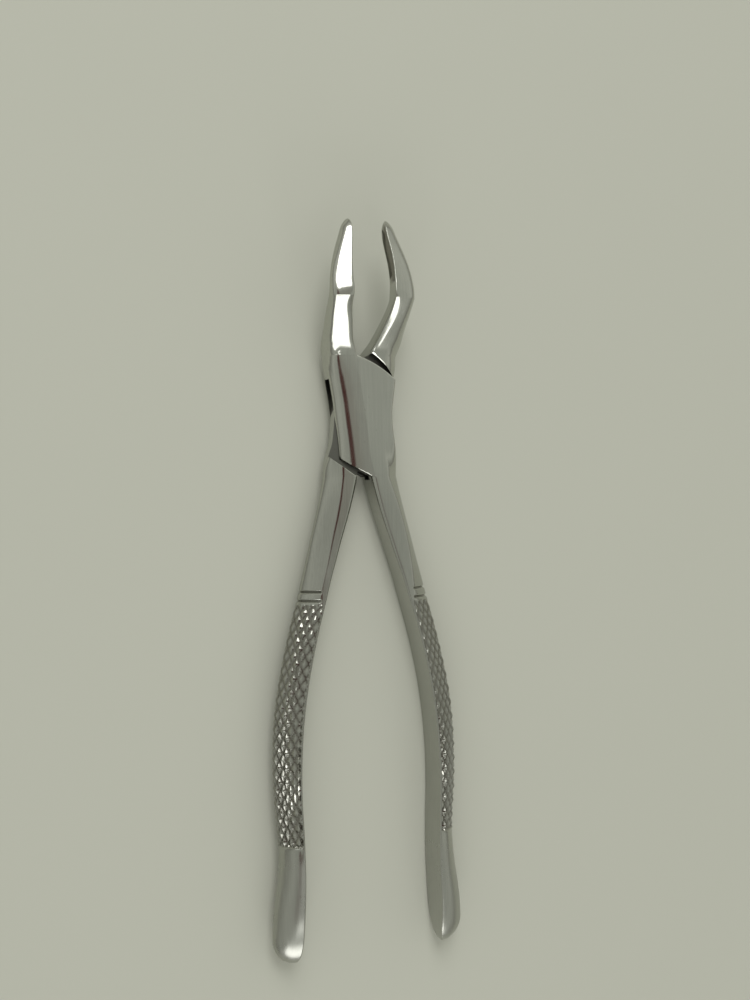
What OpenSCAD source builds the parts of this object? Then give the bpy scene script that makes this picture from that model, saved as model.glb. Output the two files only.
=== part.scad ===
// Extraction forceps with a box joint: two forged halves crossing at one riveted pin.
// The forceps lies on its back. +Y runs to the beak tips, +Z is up, and the pivot axis is the Z axis.
// The origin is where the pivot axis meets the back face of the joint.

/* [Length] */
// Distance from the pivot to the beak tips
beak_reach = 44.3; // [40:0.1:50]
// Distance from the pivot to the ends of the handles
handle_reach = 129.2; // [120:0.1:140]

/* [Joint] */
// Thickness of the box joint, from its back face to its front face
joint_t = 8.4; // [8:0.1:9.2]
// Thickness of the tongue that passes through the box
tongue_t = 2.9; // [2.6:0.1:3.2]
// Gap between the tongue and each wall of the box
slot_gap = 0.08; // [0.05:0.01:0.12]
// Diameter of the pivot pin
pin_d = 4.0; // [3:0.1:4.6]
// Radial running clearance of the pin in the tongue
pin_gap = 0.05; // [0.02:0.01:0.08]

/* [Beaks] */
// Depth of the hollow inside each beak
beak_hollow = 0.9; // [0.4:0.1:1.1]
// Height of the beak's front edge at the bend, above the table
bend_top = 17.4; // [15:0.1:19]

/* [Handles] */
// Distance from the pivot to the ring groove above the grip
groove_y = 43.4; // [41:0.1:46]
// Depth of the ring groove
groove_depth = 0.45; // [0.2:0.05:0.6]
// Radius of the small round on the edges of the flat inner faces
edge_r = 0.45; // [0.3:0.05:0.6]

/* [Hidden] */
$fn = 64;

mid_z = joint_t / 2;               // height of the tongue's middle
far = 60;                          // reach of cutting shapes past the solid
side_n = 11;                       // points on each side of a section
step_y = 3.4;                      // longest distance between two sections
round_len = 12.2;                  // length of the rounding of a handle's end, seen from the side
round_w = 5.7;                     // length of the same rounding, seen from the front
steel = "silver";

// Edges across the joint, seen from the front, each with its two ends and its bulge away from the pivot.
box_top = [[-1.45, 12.7], [8.6, 7.0], 0.7];
box_low = [[-5.9, -11.3], [1.6, -15.6], 0.1];
// Shoulders of the male half, which face the edges of the box across a gap.
shoulder_top = [[2.2, 13.7], [8.3, 7.85], 0.3];
shoulder_low = [[-8.7, -10.7], [-1.95, -15.85], 0.1];
// Walls of the slot where the two sides of the box join.
wall_top = [[-8.2, 7.3], [-1.3, 12.95], 0];
wall_low = [[1.3, -16.4], [8.3, -10.6], 0];

// A section's row: y, left x, right x, back z, front z, round of the left side, round of the right side,
// squareness of the left side, squareness of the right side, depth of the hollow.
// The rows are for a half whose beak is on the left and whose handle is on the right.
function row(y, l, r, b, f, al, ar, el, er, d = 0) = [y, l, r, b, f, al, ar, el, er, d];

// Handle row, from the share of the reach: inner x, outer x, back z, front z.
function grip_row(s, i, o, b, f) = row(-s * handle_reach, i, o, b, f, edge_r, o - i - edge_r - 0.1, 6, 2);
handle_rows = [
    grip_row(0.123, 1.75, 9.2, 0, joint_t),
    grip_row(0.155, 2.8, 10.2, 0.1, 8.4),
    grip_row(0.232, 5.9, 12.7, 0.2, 8.5),
    grip_row(0.310, 9.1, 15.2, 0.1, 8.7),
    grip_row(0.387, 11.9, 18.0, 0, 8.9),
    grip_row(0.464, 14.4, 20.6, 0, 9.1),
    grip_row(0.542, 16.2, 22.4, 0, 9.4),
    grip_row(0.619, 17.15, 23.2, 0, 9.6),
    grip_row(0.697, 17.35, 23.0, 0, 9.7),
    grip_row(0.774, 17.0, 22.2, 0, 9.7),
    grip_row(0.851, 16.9, 22.6, 0, 9.6),
    grip_row(0.929, 17.3, 23.8, 0, 9.4),
    grip_row(1.000, 17.5, 24.1, 0, 9.3),
];

// Beak row, from the share of the reach: outer x, inner x, back z, front z.
function beak_row(s, o, i, b, f, d = 0) =
    row(s * beak_reach, -o, -i, b, f, o - i - edge_r * 0.7 - 0.1, edge_r * 0.7, 2, 6, d);
shank_rows = [
    beak_row(0.287, 8.95, 1.45, 0, joint_t),
    beak_row(0.295, 9.05, 1.6, 0.1, joint_t),
    beak_row(0.325, 9.5, 2.45, 1.3, 9.0),
    beak_row(0.361, 9.8, 3.05, 3.0, 10.0),
    beak_row(0.451, 10.1, 4.2, 6.7, 12.9),
    beak_row(0.530, 10.4, 5.0, 10.2, bend_top - 1.5),
    beak_row(0.580, 10.5, 5.25, 12.1, bend_top),
];
tip_rows = [
    beak_row(0.580, 10.5, 5.25, 12.1, bend_top),
    beak_row(0.630, 10.4, 5.4, 12.8, bend_top - 0.1),
    beak_row(0.677, 10.15, 5.45, 12.6, bend_top - 0.35, beak_hollow * 0.7),
    beak_row(0.767, 9.3, 5.4, 11.8, bend_top - 1.0, beak_hollow),
    beak_row(0.858, 7.95, 4.95, 10.9, bend_top - 1.95, beak_hollow * 0.8),
    beak_row(0.948, 6.2, 4.4, 10.6, bend_top - 3.3, beak_hollow * 0.3),
    beak_row(0.985, 5.4, 4.35, 11.1, bend_top - 4.0),
    beak_row(1.000, 4.9, 4.45, 11.9, bend_top - 4.8),
];

// Joint row: y, left x, right x, round of the right side. The box is trimmed to its slanted edges afterwards.
function joint_row(y, l, r, ar = 1.6) = row(y, l, r, 0, joint_t, 3.2, ar, 2, 2);
female_box = [
    joint_row(13.0, -8.95, 8.7),
    joint_row(10.0, -8.35, 8.65),
    joint_row(7.0, -7.85, 8.4),
    joint_row(2.5, -7.15, 7.75),
    joint_row(-2.2, -6.65, 7.5),
    joint_row(-7.0, -6.2, 8.1),
    joint_row(-11.4, -5.9, 8.75, 2.8),
    joint_row(-15.7, -5.9, 9.15, 6.4),
];
// The tongue's edges are those of the male half, and stay inside the slot while the jaws close.
male_box = [
    joint_row(3.5, -7.1, 5.9),
    joint_row(-1.0, -6.4, 6.6),
    joint_row(-4.5, -5.3, 6.9),
    joint_row(-9.0, -2.5, 7.5, 3.2),
    joint_row(-12.5, -0.35, 8.2, 5),
];

// Cubic curve through rows a and b of a table, with the slopes that its neighbours give.
function slope(t, i) =
    let (p = t[max(i - 1, 0)], q = t[min(i + 1, len(t) - 1)]) (q - p) / (q[0] - p[0]);
function between(t, i, u) =
    let (a = t[i], b = t[i + 1], w = b[0] - a[0], u2 = u * u, u3 = u2 * u)
    (2 * u3 - 3 * u2 + 1) * a + (u3 - 2 * u2 + u) * w * slope(t, i)
    + (3 * u2 - 2 * u3) * b + (u3 - u2) * w * slope(t, i + 1);
// All the sections of a table: its rows, with more between them where they are far apart.
function fill(t) = [
    for (i = [0 : len(t) - 2])
        let (n = ceil(abs(t[i + 1][0] - t[i][0]) / step_y))
        for (k = [0 : n - 1]) between(t, i, k / n),
    t[len(t) - 1]
];

// A handle's end shrinks along two quarter ellipses, one seen from the front and one from the side.
function fall(y, reach) =
    let (u = max(0, (reach - handle_reach - y) / reach)) sqrt(max(0, 1 - u * u));
function end_round(r) =
    let (kw = max(0.06, fall(r[0], round_w)), kz = max(0.12, fall(r[0], round_len)),
         cx = r[1] + 1.2, cz = 5.2)
    [r[0], cx + (r[1] - cx) * kw, cx + (r[2] - cx) * kw, cz + (r[3] - cz) * kz, cz + (r[4] - cz) * kz,
     r[5] * kw, r[6] * kw, r[7], r[8], 0];
// The ring groove is cut into the outer side only.
function grooved(r) =
    let (g = abs(r[0] + groove_y) < 0.5 ? groove_depth : 0)
    [r[0], r[1], r[2] - g, r[3] + g * 0.5, r[4] - g * 0.5, r[5], r[6] - g, r[7], r[8], 0];
end_steps = [0, 0.2, 0.38, 0.55, 0.7, 0.82, 0.91, 0.97, 1];
tail_start = handle_reach - round_len;
function handle_at(y) =
    let (n = len(handle_rows), i = max([for (k = [0 : n - 2]) if (handle_rows[k][0] >= y) k]),
         a = handle_rows[i], b = handle_rows[i + 1])
    between(handle_rows, i, (y - a[0]) / (b[0] - a[0]));
handle_ys = concat(
    [for (k = [0 : 6]) handle_rows[0][0] - k * (groove_y - 0.9 + handle_rows[0][0]) / 6],
    [for (d = [-0.55, -0.45, 0.45, 0.55]) -groove_y - d],
    [for (k = [1 : 20]) -groove_y - 0.55 - k * (tail_start - groove_y - 0.55) / 20],
    [for (k = [1 : len(end_steps) - 1]) -tail_start - round_len * end_steps[k]]
);
handle_ring = [for (y = handle_ys) end_round(grooved(handle_at(y)))];

// The outline of one section as points in space.
function pw(v, e) = sign(v) * pow(abs(v), 2 / e);
function side(r, left) =
    let (cz = (r[3] + r[4]) / 2, h = (r[4] - r[3]) / 2)
    [for (k = [0 : side_n - 1])
        let (t = 88 * (2 * k / (side_n - 1) - 1), e = left ? r[7] : r[8], z = pw(sin(t), e),
             x = left ? r[1] + r[5] * (1 - pw(cos(t), e)) : r[2] - r[6] * (1 - pw(cos(t), e)),
             d = left ? 0 : r[9] * max(0, 1 - z * z * 1.2))
        [x - d, r[0], cz + h * z]];
function reversed(v) = [for (k = [len(v) - 1 : -1 : 0]) v[k]];
function outline(r) = concat(side(r, true), reversed(side(r, false)));

// A solid through the sections, from the tip of the beak to the end of the handle.
module loft(rows) {
    rings = [for (r = rows) outline(r)];
    m = len(rings[0]);
    last = (len(rings) - 1) * m;
    walls = [
        for (i = [0 : len(rings) - 2])
            for (j = [0 : m - 1])
                let (a = i * m + j, b = i * m + (j + 1) % m, c = a + m, d = b + m)
                each [[a, b, d], [a, d, c]]
    ];
    caps = [[for (j = [m - 1 : -1 : 0]) j], [for (j = [0 : m - 1]) last + j]];
    polyhedron(points = [for (g = rings) each g], faces = concat(walls, caps), convexity = 6);
}

// One half with its beak on the left. The box rows decide how it crosses the other half.
module half_blank(box_rows) {
    shank = [for (r = reversed(fill(shank_rows)))
        if (r[0] < tip_rows[0][0] - 0.1 && r[0] > box_rows[0][0] + 0.05) r];
    loft(concat(reversed(fill(tip_rows)), shank, fill(box_rows), handle_ring));
}

// Points along an edge, which bulges away from the pivot, and the same edge run on at both ends.
function curve(edge) =
    let (p = edge[0], q = edge[1], u = (q - p) / norm(q - p), n = [-u[1], u[0]],
         out = n * p > 0 ? n : -n)
    [for (k = [0 : 6]) p + (q - p) * k / 6 + out * edge[2] * 4 * (k / 6) * (1 - k / 6)];
function run_on(edge) =
    let (c = curve(edge), m = len(c) - 1, a = c[0] - c[1], b = c[m] - c[m - 1])
    concat([c[0] + a * far / norm(a)], c, [c[m] + b * far / norm(b)]);
// A straight-sided cut between two edges that both run from left to right, from height z0 to z1.
module cut_between(upper, lower, z0, z1) {
    translate([0, 0, z0])
        linear_extrude(z1 - z0)
            polygon(concat(run_on(upper), reversed(run_on(lower))));
}
// Cuts that trim the corners of the box to its slanted edges.
module box_trim() {
    translate([0, 0, -1])
        linear_extrude(joint_t + 2) {
            polygon(concat(curve(box_top), [[9.5, 6.5], [9.5, 13.4], [-1.45, 13.4]]));
            polygon(concat([[-7.5, -10.4]], curve(box_low), [[1.6, -16.2], [-7.5, -16.2]]));
        }
}

// The half that carries the box: its slot lets the other half through from upper right to lower left.
module female_half() {
    color(steel)
        difference() {
            half_blank(female_box);
            box_trim();
            cut_between(wall_top, wall_low,
                        mid_z - tongue_t / 2 - slot_gap, mid_z + tongue_t / 2 + slot_gap);
            translate([0, 0, -1]) cylinder(h = joint_t + 2, d = pin_d);
        }
}

// The half that passes through the box: thinned to a tongue between its two shoulders.
module male_half() {
    color(steel)
        difference() {
            mirror([1, 0, 0]) half_blank(male_box);
            cut_between(shoulder_top, shoulder_low, mid_z + tongue_t / 2, joint_t + 1);
            cut_between(shoulder_top, shoulder_low, -1, mid_z - tongue_t / 2);
            translate([0, 0, -1]) cylinder(h = joint_t + 2, r = pin_d / 2 + pin_gap);
        }
}

// The pin is riveted in both walls of the box and ground flush with them.
module pivot_pin() {
    color(steel)
        difference() {
            cylinder(h = joint_t, d = pin_d);
            translate([0, 0, joint_t - 0.15]) cylinder(h = 1, d = 0.5);
        }
}

female_half();
male_half();
pivot_pin();
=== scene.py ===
"""Extraction forceps with a box joint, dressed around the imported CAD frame.

Lengths of the forceps are millimetres in the frame of the part, and become metres where a mesh is made.
Lights and the table top are in metres. +Y runs to the beak tips, +Z is the pivot axis, the table is Z = 0.
"""

import logging
import math
from dataclasses import dataclass, field
from enum import Enum

import bmesh
import bpy
import numpy as np
from mathutils import Matrix, Vector


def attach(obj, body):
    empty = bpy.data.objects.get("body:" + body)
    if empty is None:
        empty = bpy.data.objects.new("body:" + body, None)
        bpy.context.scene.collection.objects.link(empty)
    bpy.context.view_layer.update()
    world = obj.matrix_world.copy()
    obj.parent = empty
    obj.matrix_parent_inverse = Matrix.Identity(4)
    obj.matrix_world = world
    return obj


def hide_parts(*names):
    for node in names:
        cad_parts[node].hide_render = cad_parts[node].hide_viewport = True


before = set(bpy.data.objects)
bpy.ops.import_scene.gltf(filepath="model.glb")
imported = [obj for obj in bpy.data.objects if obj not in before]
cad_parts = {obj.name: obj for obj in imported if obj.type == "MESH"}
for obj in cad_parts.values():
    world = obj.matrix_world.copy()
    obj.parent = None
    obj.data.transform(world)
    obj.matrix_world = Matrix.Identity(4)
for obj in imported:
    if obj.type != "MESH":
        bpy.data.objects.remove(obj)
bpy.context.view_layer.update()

LOG = logging.getLogger("forceps")
MM = 0.001
MID = 4.2  # height of the joint's middle plane above the table
TIP, CREASE, BEAK_ROOT, HANDLE_ROOT, TAIL = 44.3, 25.7, 13.0, -15.7, -129.2  # places along the forceps
SLOT_HALF, TONGUE_HALF = 1.53, 1.45  # half thicknesses
PIN_R, PIN_FIT, PIN_PLAY = 2.0, 0.004, 0.05  # radius, room in the box and room in the tongue
CUT_LOW, CUT_HIGH = -3.0, 12.0  # ends of the upright cutters, clear of the joint
CUT_REACH = 7.0  # how far the walls' cutters reach above and below the middle plane

Array = np.ndarray
Color = tuple[float, float, float]
Rounds = tuple[tuple[float, float], ...]
Weights = tuple[tuple[str, float], ...]


class Side(Enum):
    """Which way a half lies: as drawn, with its beak on the left, or mirrored across the long axis."""

    BEAK_LEFT = 1
    BEAK_RIGHT = -1


@dataclass(frozen=True)
class Track:
    """A size that changes smoothly with y: a cubic through its knots, with the slopes of their neighbours."""

    knots: tuple[tuple[float, float], ...]

    def __call__(self, y: Array) -> Array:
        """Evaluates the track.

        Args:
            y: Places along the forceps.

        Returns:
            The size at each place, held constant past the end knots.
        """
        t = np.array(sorted(self.knots), float)
        x, v = t[:, 0], t[:, 1]
        m = np.gradient(v, x) if len(x) > 2 else np.full(len(x), (v[-1] - v[0]) / (x[-1] - x[0]))
        y = np.clip(y, x[0], x[-1])
        i = np.clip(np.searchsorted(x, y, side="right") - 1, 0, len(x) - 2)
        w = x[i + 1] - x[i]
        u = (y - x[i]) / w
        return (
            (2 * u**3 - 3 * u**2 + 1) * v[i]
            + (u**3 - 2 * u**2 + u) * w * m[i]
            + (3 * u**2 - 2 * u**3) * v[i + 1]
            + (u**3 - u**2) * w * m[i + 1]
        )


def ramp(y: Array, low: float, high: float) -> Array:
    """Smooth step: 0 below low, 1 above high, with level ends. Low may be above high."""
    u = np.clip((y - low) / (high - low), 0, 1)
    return u * u * (3 - 2 * u)


def mix(a: Array, b: Array, k: Array) -> Array:
    """Straight blend from a, where k is 0, to b, where k is 1."""
    return a + (b - a) * k


def quarter(distance: Array, reach: float, least: float) -> Array:
    """Quarter ellipse: 1 from a reach away from an end on, and falling to least at the end itself."""
    u = np.clip(1 - distance / reach, 0, 1)
    return np.maximum(least, np.sqrt(np.maximum(0, 1 - u * u)))


@dataclass(frozen=True)
class Knurl:
    """Diamond knurling: two families of grooves that cross at a slant and leave pyramids with blunt tops.

    It is shallow at its start and deep at its end.
    """

    start: float = -45.5
    end: float = -101.6
    pitch_along: float = 3.45
    pitch_round: float = 2.0
    shallow: float = 0.34
    deep: float = 0.6
    blunt: float = 0.85

    def height(self, along: Array, around: Array) -> Array:
        """Pyramid height, from 0 in the grooves to 1 on the blunt tops.

        Args:
            along: Distance along the handle.
            around: Distance round the section.

        Returns:
            The lower of two triangle waves, one for each family of grooves, cut off at the blunt tops.
        """
        p = along / self.pitch_along + around / self.pitch_round
        q = along / self.pitch_along - around / self.pitch_round
        tri_p = 1 - np.abs(2 * np.mod(p, 1) - 1)
        tri_q = 1 - np.abs(2 * np.mod(q, 1) - 1)
        return np.minimum(np.minimum(tri_p, tri_q) / self.blunt, 1)


@dataclass(frozen=True)
class HandleShape:
    """The handle: a flat inner face, a crest beside it, and a rounded outer side.

    The inner face lies at inner, and the section is width by depth about centre. The crest lies at a share of
    the width, and drop is how far it falls for each millimetre of width. The rounds are crisp above the knurl
    and soft on it. The end is rounded over end_depth seen from the side and end_width seen from the front.
    """

    inner: Track = Track(((-15.7, 1.75), (-20, 2.8), (-25, 4.2), (-30, 5.85), (-35, 7.45), (-40, 9.1),
                          (-45, 10.5), (-50, 11.95), (-60, 14.4), (-70, 16.15), (-80, 17.1), (-90, 17.35),
                          (-100, 17.0), (-110, 16.9), (-120, 17.3), (-129.2, 17.6)))
    width: Track = Track(((-15.7, 7.55), (-20, 7.4), (-25, 7.2), (-30, 6.85), (-35, 6.5), (-40, 6.2),
                          (-50, 6.15), (-60, 6.15), (-70, 6.25), (-80, 6.05), (-90, 5.65), (-100, 5.2),
                          (-105, 5.2), (-110, 5.65), (-115, 6.2), (-120, 6.5), (-129.2, 6.4)))
    depth: Track = Track(((-15.7, 8.3), (-20, 8.0), (-25, 7.7), (-30, 7.6), (-35, 7.9), (-40, 8.4),
                          (-50, 9.0), (-60, 9.15), (-80, 9.25), (-100, 9.6), (-110, 9.65), (-129.2, 9.5)))
    centre: Track = Track(((-15.7, 0.0), (-20, 0.15), (-30, 0.25), (-40, 0.3), (-50, 0.38), (-60, 0.45),
                           (-80, 0.5), (-100, 0.62), (-129.2, 0.62)))
    crest: Track = Track(((-15.7, 0.55), (-22, 0.66), (-30, 0.66), (-37, 0.52), (-42, 0.34), (-47, 0.3),
                          (-60, 0.36), (-100, 0.42), (-129.2, 0.5)))
    bevel: Track = Track(((-15.7, 0.75), (-30, 0.6), (-42, 0.4), (-50, 0.32), (-129.2, 0.32)))
    drop: float = 0.025
    crisp: Rounds = ((0.12, 0.45), (0.45, 0.45), (0.45, 0.1), (0.2, 0.14), (0.78, 0.45))
    soft: Rounds = ((0.12, 0.45), (0.45, 0.45), (0.45, 0.04), (0.9, 0.46), (0.46, 0.45))
    end_depth: float = 12.2
    end_width: float = 5.7


@dataclass(frozen=True)
class BeakShape:
    """The beak and its shank: a rise to the crease, then a hollowed blade that runs out to the tip.

    Its top is rise, then fall, and its underside under_rise, then under_fall. The crest lies at a distance from
    the inner face and falls by lean. Shear tilts the inner face, and the tip is rounded over end.
    """

    inner: Track = Track(((13.0, 1.4), (14.5, 2.05), (16, 2.75), (18, 3.35), (20, 3.88), (22, 4.35),
                          (24, 4.72), (26, 5.0), (28, 5.13), (31, 5.2), (34, 5.12), (36, 4.95), (38, 4.67),
                          (40, 4.38), (42, 4.2), (43.2, 4.2), (44.3, 4.3)))
    width: Track = Track(((13.0, 7.55), (14.5, 7.45), (16, 7.05), (18, 6.6), (20, 6.25), (22, 6.0),
                          (24, 5.75), (26, 5.55), (28, 5.3), (30, 5.0), (32, 4.65), (34, 4.25), (36, 3.8),
                          (38, 3.4), (40, 2.95), (42, 2.45), (44.3, 1.7)))
    shear: float = 0.05
    rise: Track = Track(((12.4, 4.2), (13.0, 4.22), (14.0, 4.5), (15.0, 5.05), (16, 5.75), (18, 7.2),
                         (20, 8.7), (22, 10.2), (24, 11.75), (25.7, 13.05)))
    fall: Track = Track(((25.7, 13.05), (26.7, 13.18), (27.7, 13.2), (28.7, 13.02), (29.8, 12.75), (31, 12.5),
                         (32, 12.3), (34, 11.95), (36, 11.5), (38, 11.0), (40, 10.4), (42, 9.8), (44.3, 9.0)))
    under_rise: Track = Track(((12.4, -4.2), (13.0, -4.15), (14.0, -3.6), (15.0, -2.7), (16, -1.5), (18, 0.5),
                               (20, 2.4), (22, 4.4), (24, 6.5), (25.7, 8.1)))
    under_fall: Track = Track(((25.7, 8.1), (27, 8.5), (28, 8.6), (30, 8.4), (32, 8.0), (34, 7.55), (36, 7.0),
                               (38, 6.6), (40, 6.4), (42, 6.4), (44.3, 6.7)))
    crest: Track = Track(((13.0, 5.6), (16, 5.4), (20, 5.05), (25.7, 4.6), (28, 4.5), (32, 3.95), (36, 3.1),
                          (40, 2.2), (44.3, 0.8)))
    bevel: Track = Track(((13.0, 0.5), (16, 0.95), (20, 1.1), (25.2, 1.3), (26.4, 0.7), (30, 0.4),
                          (44.3, 0.22)))
    lean: Track = Track(((13.0, 0.1), (16, 0.3), (25.7, 0.35), (28, 0.7), (36, 0.75), (44.3, 0.3)))
    rounds: Rounds = ((0.45, 0.45), (0.5, 0.35), (0.12, 0.5), (0.4, 0.4), (0.5, 0.12))
    end: float = 2.4
    hollow: float = 0.85


@dataclass(frozen=True)
class BoxShape:
    """The box of the joint: two faces that meet at a low ridge, between a left and a right flank."""

    left: Track = Track(((13.0, -8.95), (10, -8.4), (7, -7.9), (4.5, -7.5), (2.2, -7.15), (0, -6.9),
                         (-2.2, -6.65), (-7, -6.1), (-11.3, -5.8), (-15.7, -5.5)))
    right: Track = Track(((13.0, 8.8), (8, 8.55), (5, 8.2), (2.7, 7.85), (0.3, 7.55), (-2.2, 7.5),
                          (-4.6, 7.65), (-7, 7.95), (-9.4, 8.3), (-11.8, 8.65), (-14, 9.0), (-15.7, 9.3)))
    ridge: Track = Track(((13.0, -1.85), (11.5, -1.35), (7.1, -0.88), (2.4, -0.21), (-2.3, 0.45), (-7, 0.99),
                          (-10.6, 1.35), (-12.8, 1.75), (-14.4, 2.2), (-15.7, 2.5)))
    crest: Track = Track(((13.0, -6.5), (8, -5.75), (2.4, -4.8), (-2.2, -4.2), (-7, -3.55), (-12.7, -2.85),
                          (-15.7, -2.5)))
    half: float = 4.2
    rounds: Rounds = ((0.25, 0.3), (0.55, 0.6), (0.03, 0.03), (0.4, 0.2), (0.22, 0.1))


def outline(corners: Array, cut: Array, arcs: tuple[int, ...], straights: tuple[int, ...]) -> Array:
    """Rounds the corners of many polygons at once, each corner by a quadratic curve.

    Args:
        corners: Polygon corners, sections by corners by 2.
        cut: Share of the sides before and after each corner that its round takes, sections by corners by 2.
        arcs: Points on each corner's curve.
        straights: Points between each corner's curve and the next one's.

    Returns:
        Outline points, sections by points by 2.
    """
    before, after = np.roll(corners, 1, axis=1), np.roll(corners, -1, axis=1)
    start = corners + (before - corners) * cut[:, :, :1]
    stop = corners + (after - corners) * cut[:, :, 1:]
    rows = []
    for i, (n, k) in enumerate(zip(arcs, straights)):
        t = np.linspace(0, 1, n)[None, :, None]
        a, b, c = start[:, i, None], corners[:, i, None], stop[:, i, None]
        rows.append((1 - t) ** 2 * a + 2 * t * (1 - t) * b + t**2 * c)
        s = np.linspace(0, 1, k + 2)[None, 1:-1, None]
        nxt = start[:, (i + 1) % len(arcs), None]
        rows.append(c + (nxt - c) * s)
    return np.concatenate(rows, axis=1)


def plot(*corners: tuple[Array, Array]) -> Array:
    """Corners given as pairs of x and height along the forceps, as sections by corners by 2."""
    return np.stack([np.stack(pair, -1) for pair in corners], 1)


@dataclass
class Blank:
    """One forged half before the joint is cut: sections at constant y, lofted from the tip to the tail.

    The front corners of a section are, from left to right, knee, crest, ridge, second crest, second knee. Their
    rounds have arcs points each, with straights points between them and sides points on a flank. A ring groove
    is its place, its width and its depth, and neck is how much lower the handle is ground past the knurl.
    """

    handle: HandleShape = field(default_factory=HandleShape)
    beak: BeakShape = field(default_factory=BeakShape)
    box: BoxShape = field(default_factory=BoxShape)
    knurl: Knurl = field(default_factory=Knurl)
    ring_grooves: tuple[tuple[float, float, float], ...] = ((-42.6, 0.5, 0.4), (-44.7, 0.5, 0.4))
    neck: float = 0.12
    arcs: tuple[int, ...] = (12, 9, 4, 13, 18)
    straights: tuple[int, ...] = (2, 2, 2, 3)
    sides: int = 8

    def stations(self) -> Array:
        """Places of the sections, close together where the shape turns fast.

        Returns:
            Places from the tip to the tail. Near an end the distance from it grows as a power of the index.
        """
        def spread(a: float, b: float, step: float) -> Array:
            """Evenly spaced places from a down to b, without b."""
            return np.linspace(a, b, max(2, int(round((a - b) / step))) + 1)[:-1]

        tip_end, tail_start = TIP - 2.6, TAIL + self.handle.end_depth
        start, end = self.knurl.start, self.knurl.end - 0.6
        return np.concatenate([
            TIP - 2.6 * np.linspace(0, 1, 14)[:-1] ** 1.8,
            spread(tip_end, 31.5, 0.4),
            spread(31.5, CREASE + 0.35, 0.35),
            spread(CREASE + 0.35, CREASE - 0.35, 0.07),
            spread(CREASE - 0.35, BEAK_ROOT + 0.1, 0.4),
            np.array([BEAK_ROOT + 0.1, BEAK_ROOT]),
            spread(BEAK_ROOT - 0.3, HANDLE_ROOT + 0.3, 0.5),
            np.array([HANDLE_ROOT + 0.1, HANDLE_ROOT]),
            spread(HANDLE_ROOT - 0.3, -41.0, 0.5),
            spread(-41.0, start, 0.09),
            spread(start, end, 0.2),
            spread(end, tail_start, 0.5),
            TAIL + self.handle.end_depth * np.linspace(1, 0, 34) ** 1.9,
        ])

    def grip_corners(self, y: Array) -> tuple[Array, Array]:
        """Front corners of the handle: the first three lie on the bevel of its inner edge.

        Args:
            y: Places of the sections.

        Returns:
            Corners as x and height above the section's centre, and the rounds' shares.
        """
        hs = self.handle
        x0, w, h, c, e = hs.inner(y), hs.width(y), hs.depth(y) / 2, hs.bevel(y), hs.crest(y)
        soft = ramp(y, -41, -48)[:, None, None]
        return plot((x0, h - c), (x0 + c / 2, h - c / 2), (x0 + c, h), (x0 + e * w, h - hs.drop * w),
                    (x0 + w, 0.25 * h)), mix(np.array([hs.crisp]), np.array([hs.soft]), soft)

    def blade_corners(self, y: Array) -> tuple[Array, Array, Array]:
        """Front corners of the beak: the last two lie on the bevel of its inner edge.

        Args:
            y: Places of the sections.

        Returns:
            Corners as x and height above the section's centre, the rounds' shares, and the centre's height.
        """
        bs = self.beak
        top = np.where(y > CREASE, bs.fall(y), bs.rise(y))
        under = np.where(y > CREASE, bs.under_fall(y), bs.under_rise(y))
        x, w, h, c, e = -bs.inner(y), bs.width(y), (top - under) / 2, bs.bevel(y), bs.crest(y)
        return plot((x - w, 0.2 * h), (x - e, h - bs.lean(y)), (x - c, h), (x - c * 0.25, h - c * 0.3),
                    (x, h - c)), np.array([bs.rounds]), (top + under) / 2

    def box_corners(self, y: Array) -> tuple[Array, Array]:
        """Front corners of the box: the left face falls to its flank, the right face is almost flat.

        Args:
            y: Places of the sections.

        Returns:
            Corners as x and height above the middle plane, and the rounds' shares.
        """
        bx, one = self.box, np.ones_like(y)
        right, ridge = bx.right(y), bx.ridge(y)
        return plot((bx.left(y), 1.75 * one), (bx.crest(y), (bx.half - 0.25) * one), (ridge, bx.half * one),
                    (mix(ridge, right, 0.4), (bx.half - 0.2) * one),
                    (right, (bx.half - 0.5) * one)), np.array([bx.rounds])

    def corners(self, y: Array) -> tuple[Array, Array, Array]:
        """Front corners of the sections. The box's free sides blend into the beak and into the handle.

        Args:
            y: Places of the sections.

        Returns:
            Corners as x and height above the section's centre, the rounds' shares, and the centre's height.
        """
        grip, grip_cut = self.grip_corners(y)
        blade, blade_cut, beak_centre = self.blade_corners(y)
        box, box_cut = self.box_corners(y)
        up = ramp(y, 7.0, BEAK_ROOT)[:, None, None]
        down = ramp(y, -7.0, HANDLE_ROOT)[:, None, None]
        core = np.concatenate([mix(box[:, :3], blade[:, :3], up), mix(box[:, 3:], grip[:, 3:], down)], 1)
        core_cut = np.concatenate([
            mix(box_cut[:, :3], blade_cut[:, :3], up), mix(box_cut[:, 3:], grip_cut[:, 3:], down)], 1)
        is_beak = (y > BEAK_ROOT + 0.05)[:, None, None]
        is_grip = (y < HANDLE_ROOT + 0.05)[:, None, None]
        pts = np.where(is_beak, blade, np.where(is_grip, grip, core))
        cut = np.where(is_beak, blade_cut, np.where(is_grip, grip_cut, core_cut))
        centre = np.where(y > BEAK_ROOT, beak_centre, 0.0)
        return pts, cut, np.where(y < HANDLE_ROOT, self.handle.centre(y), centre)

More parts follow.
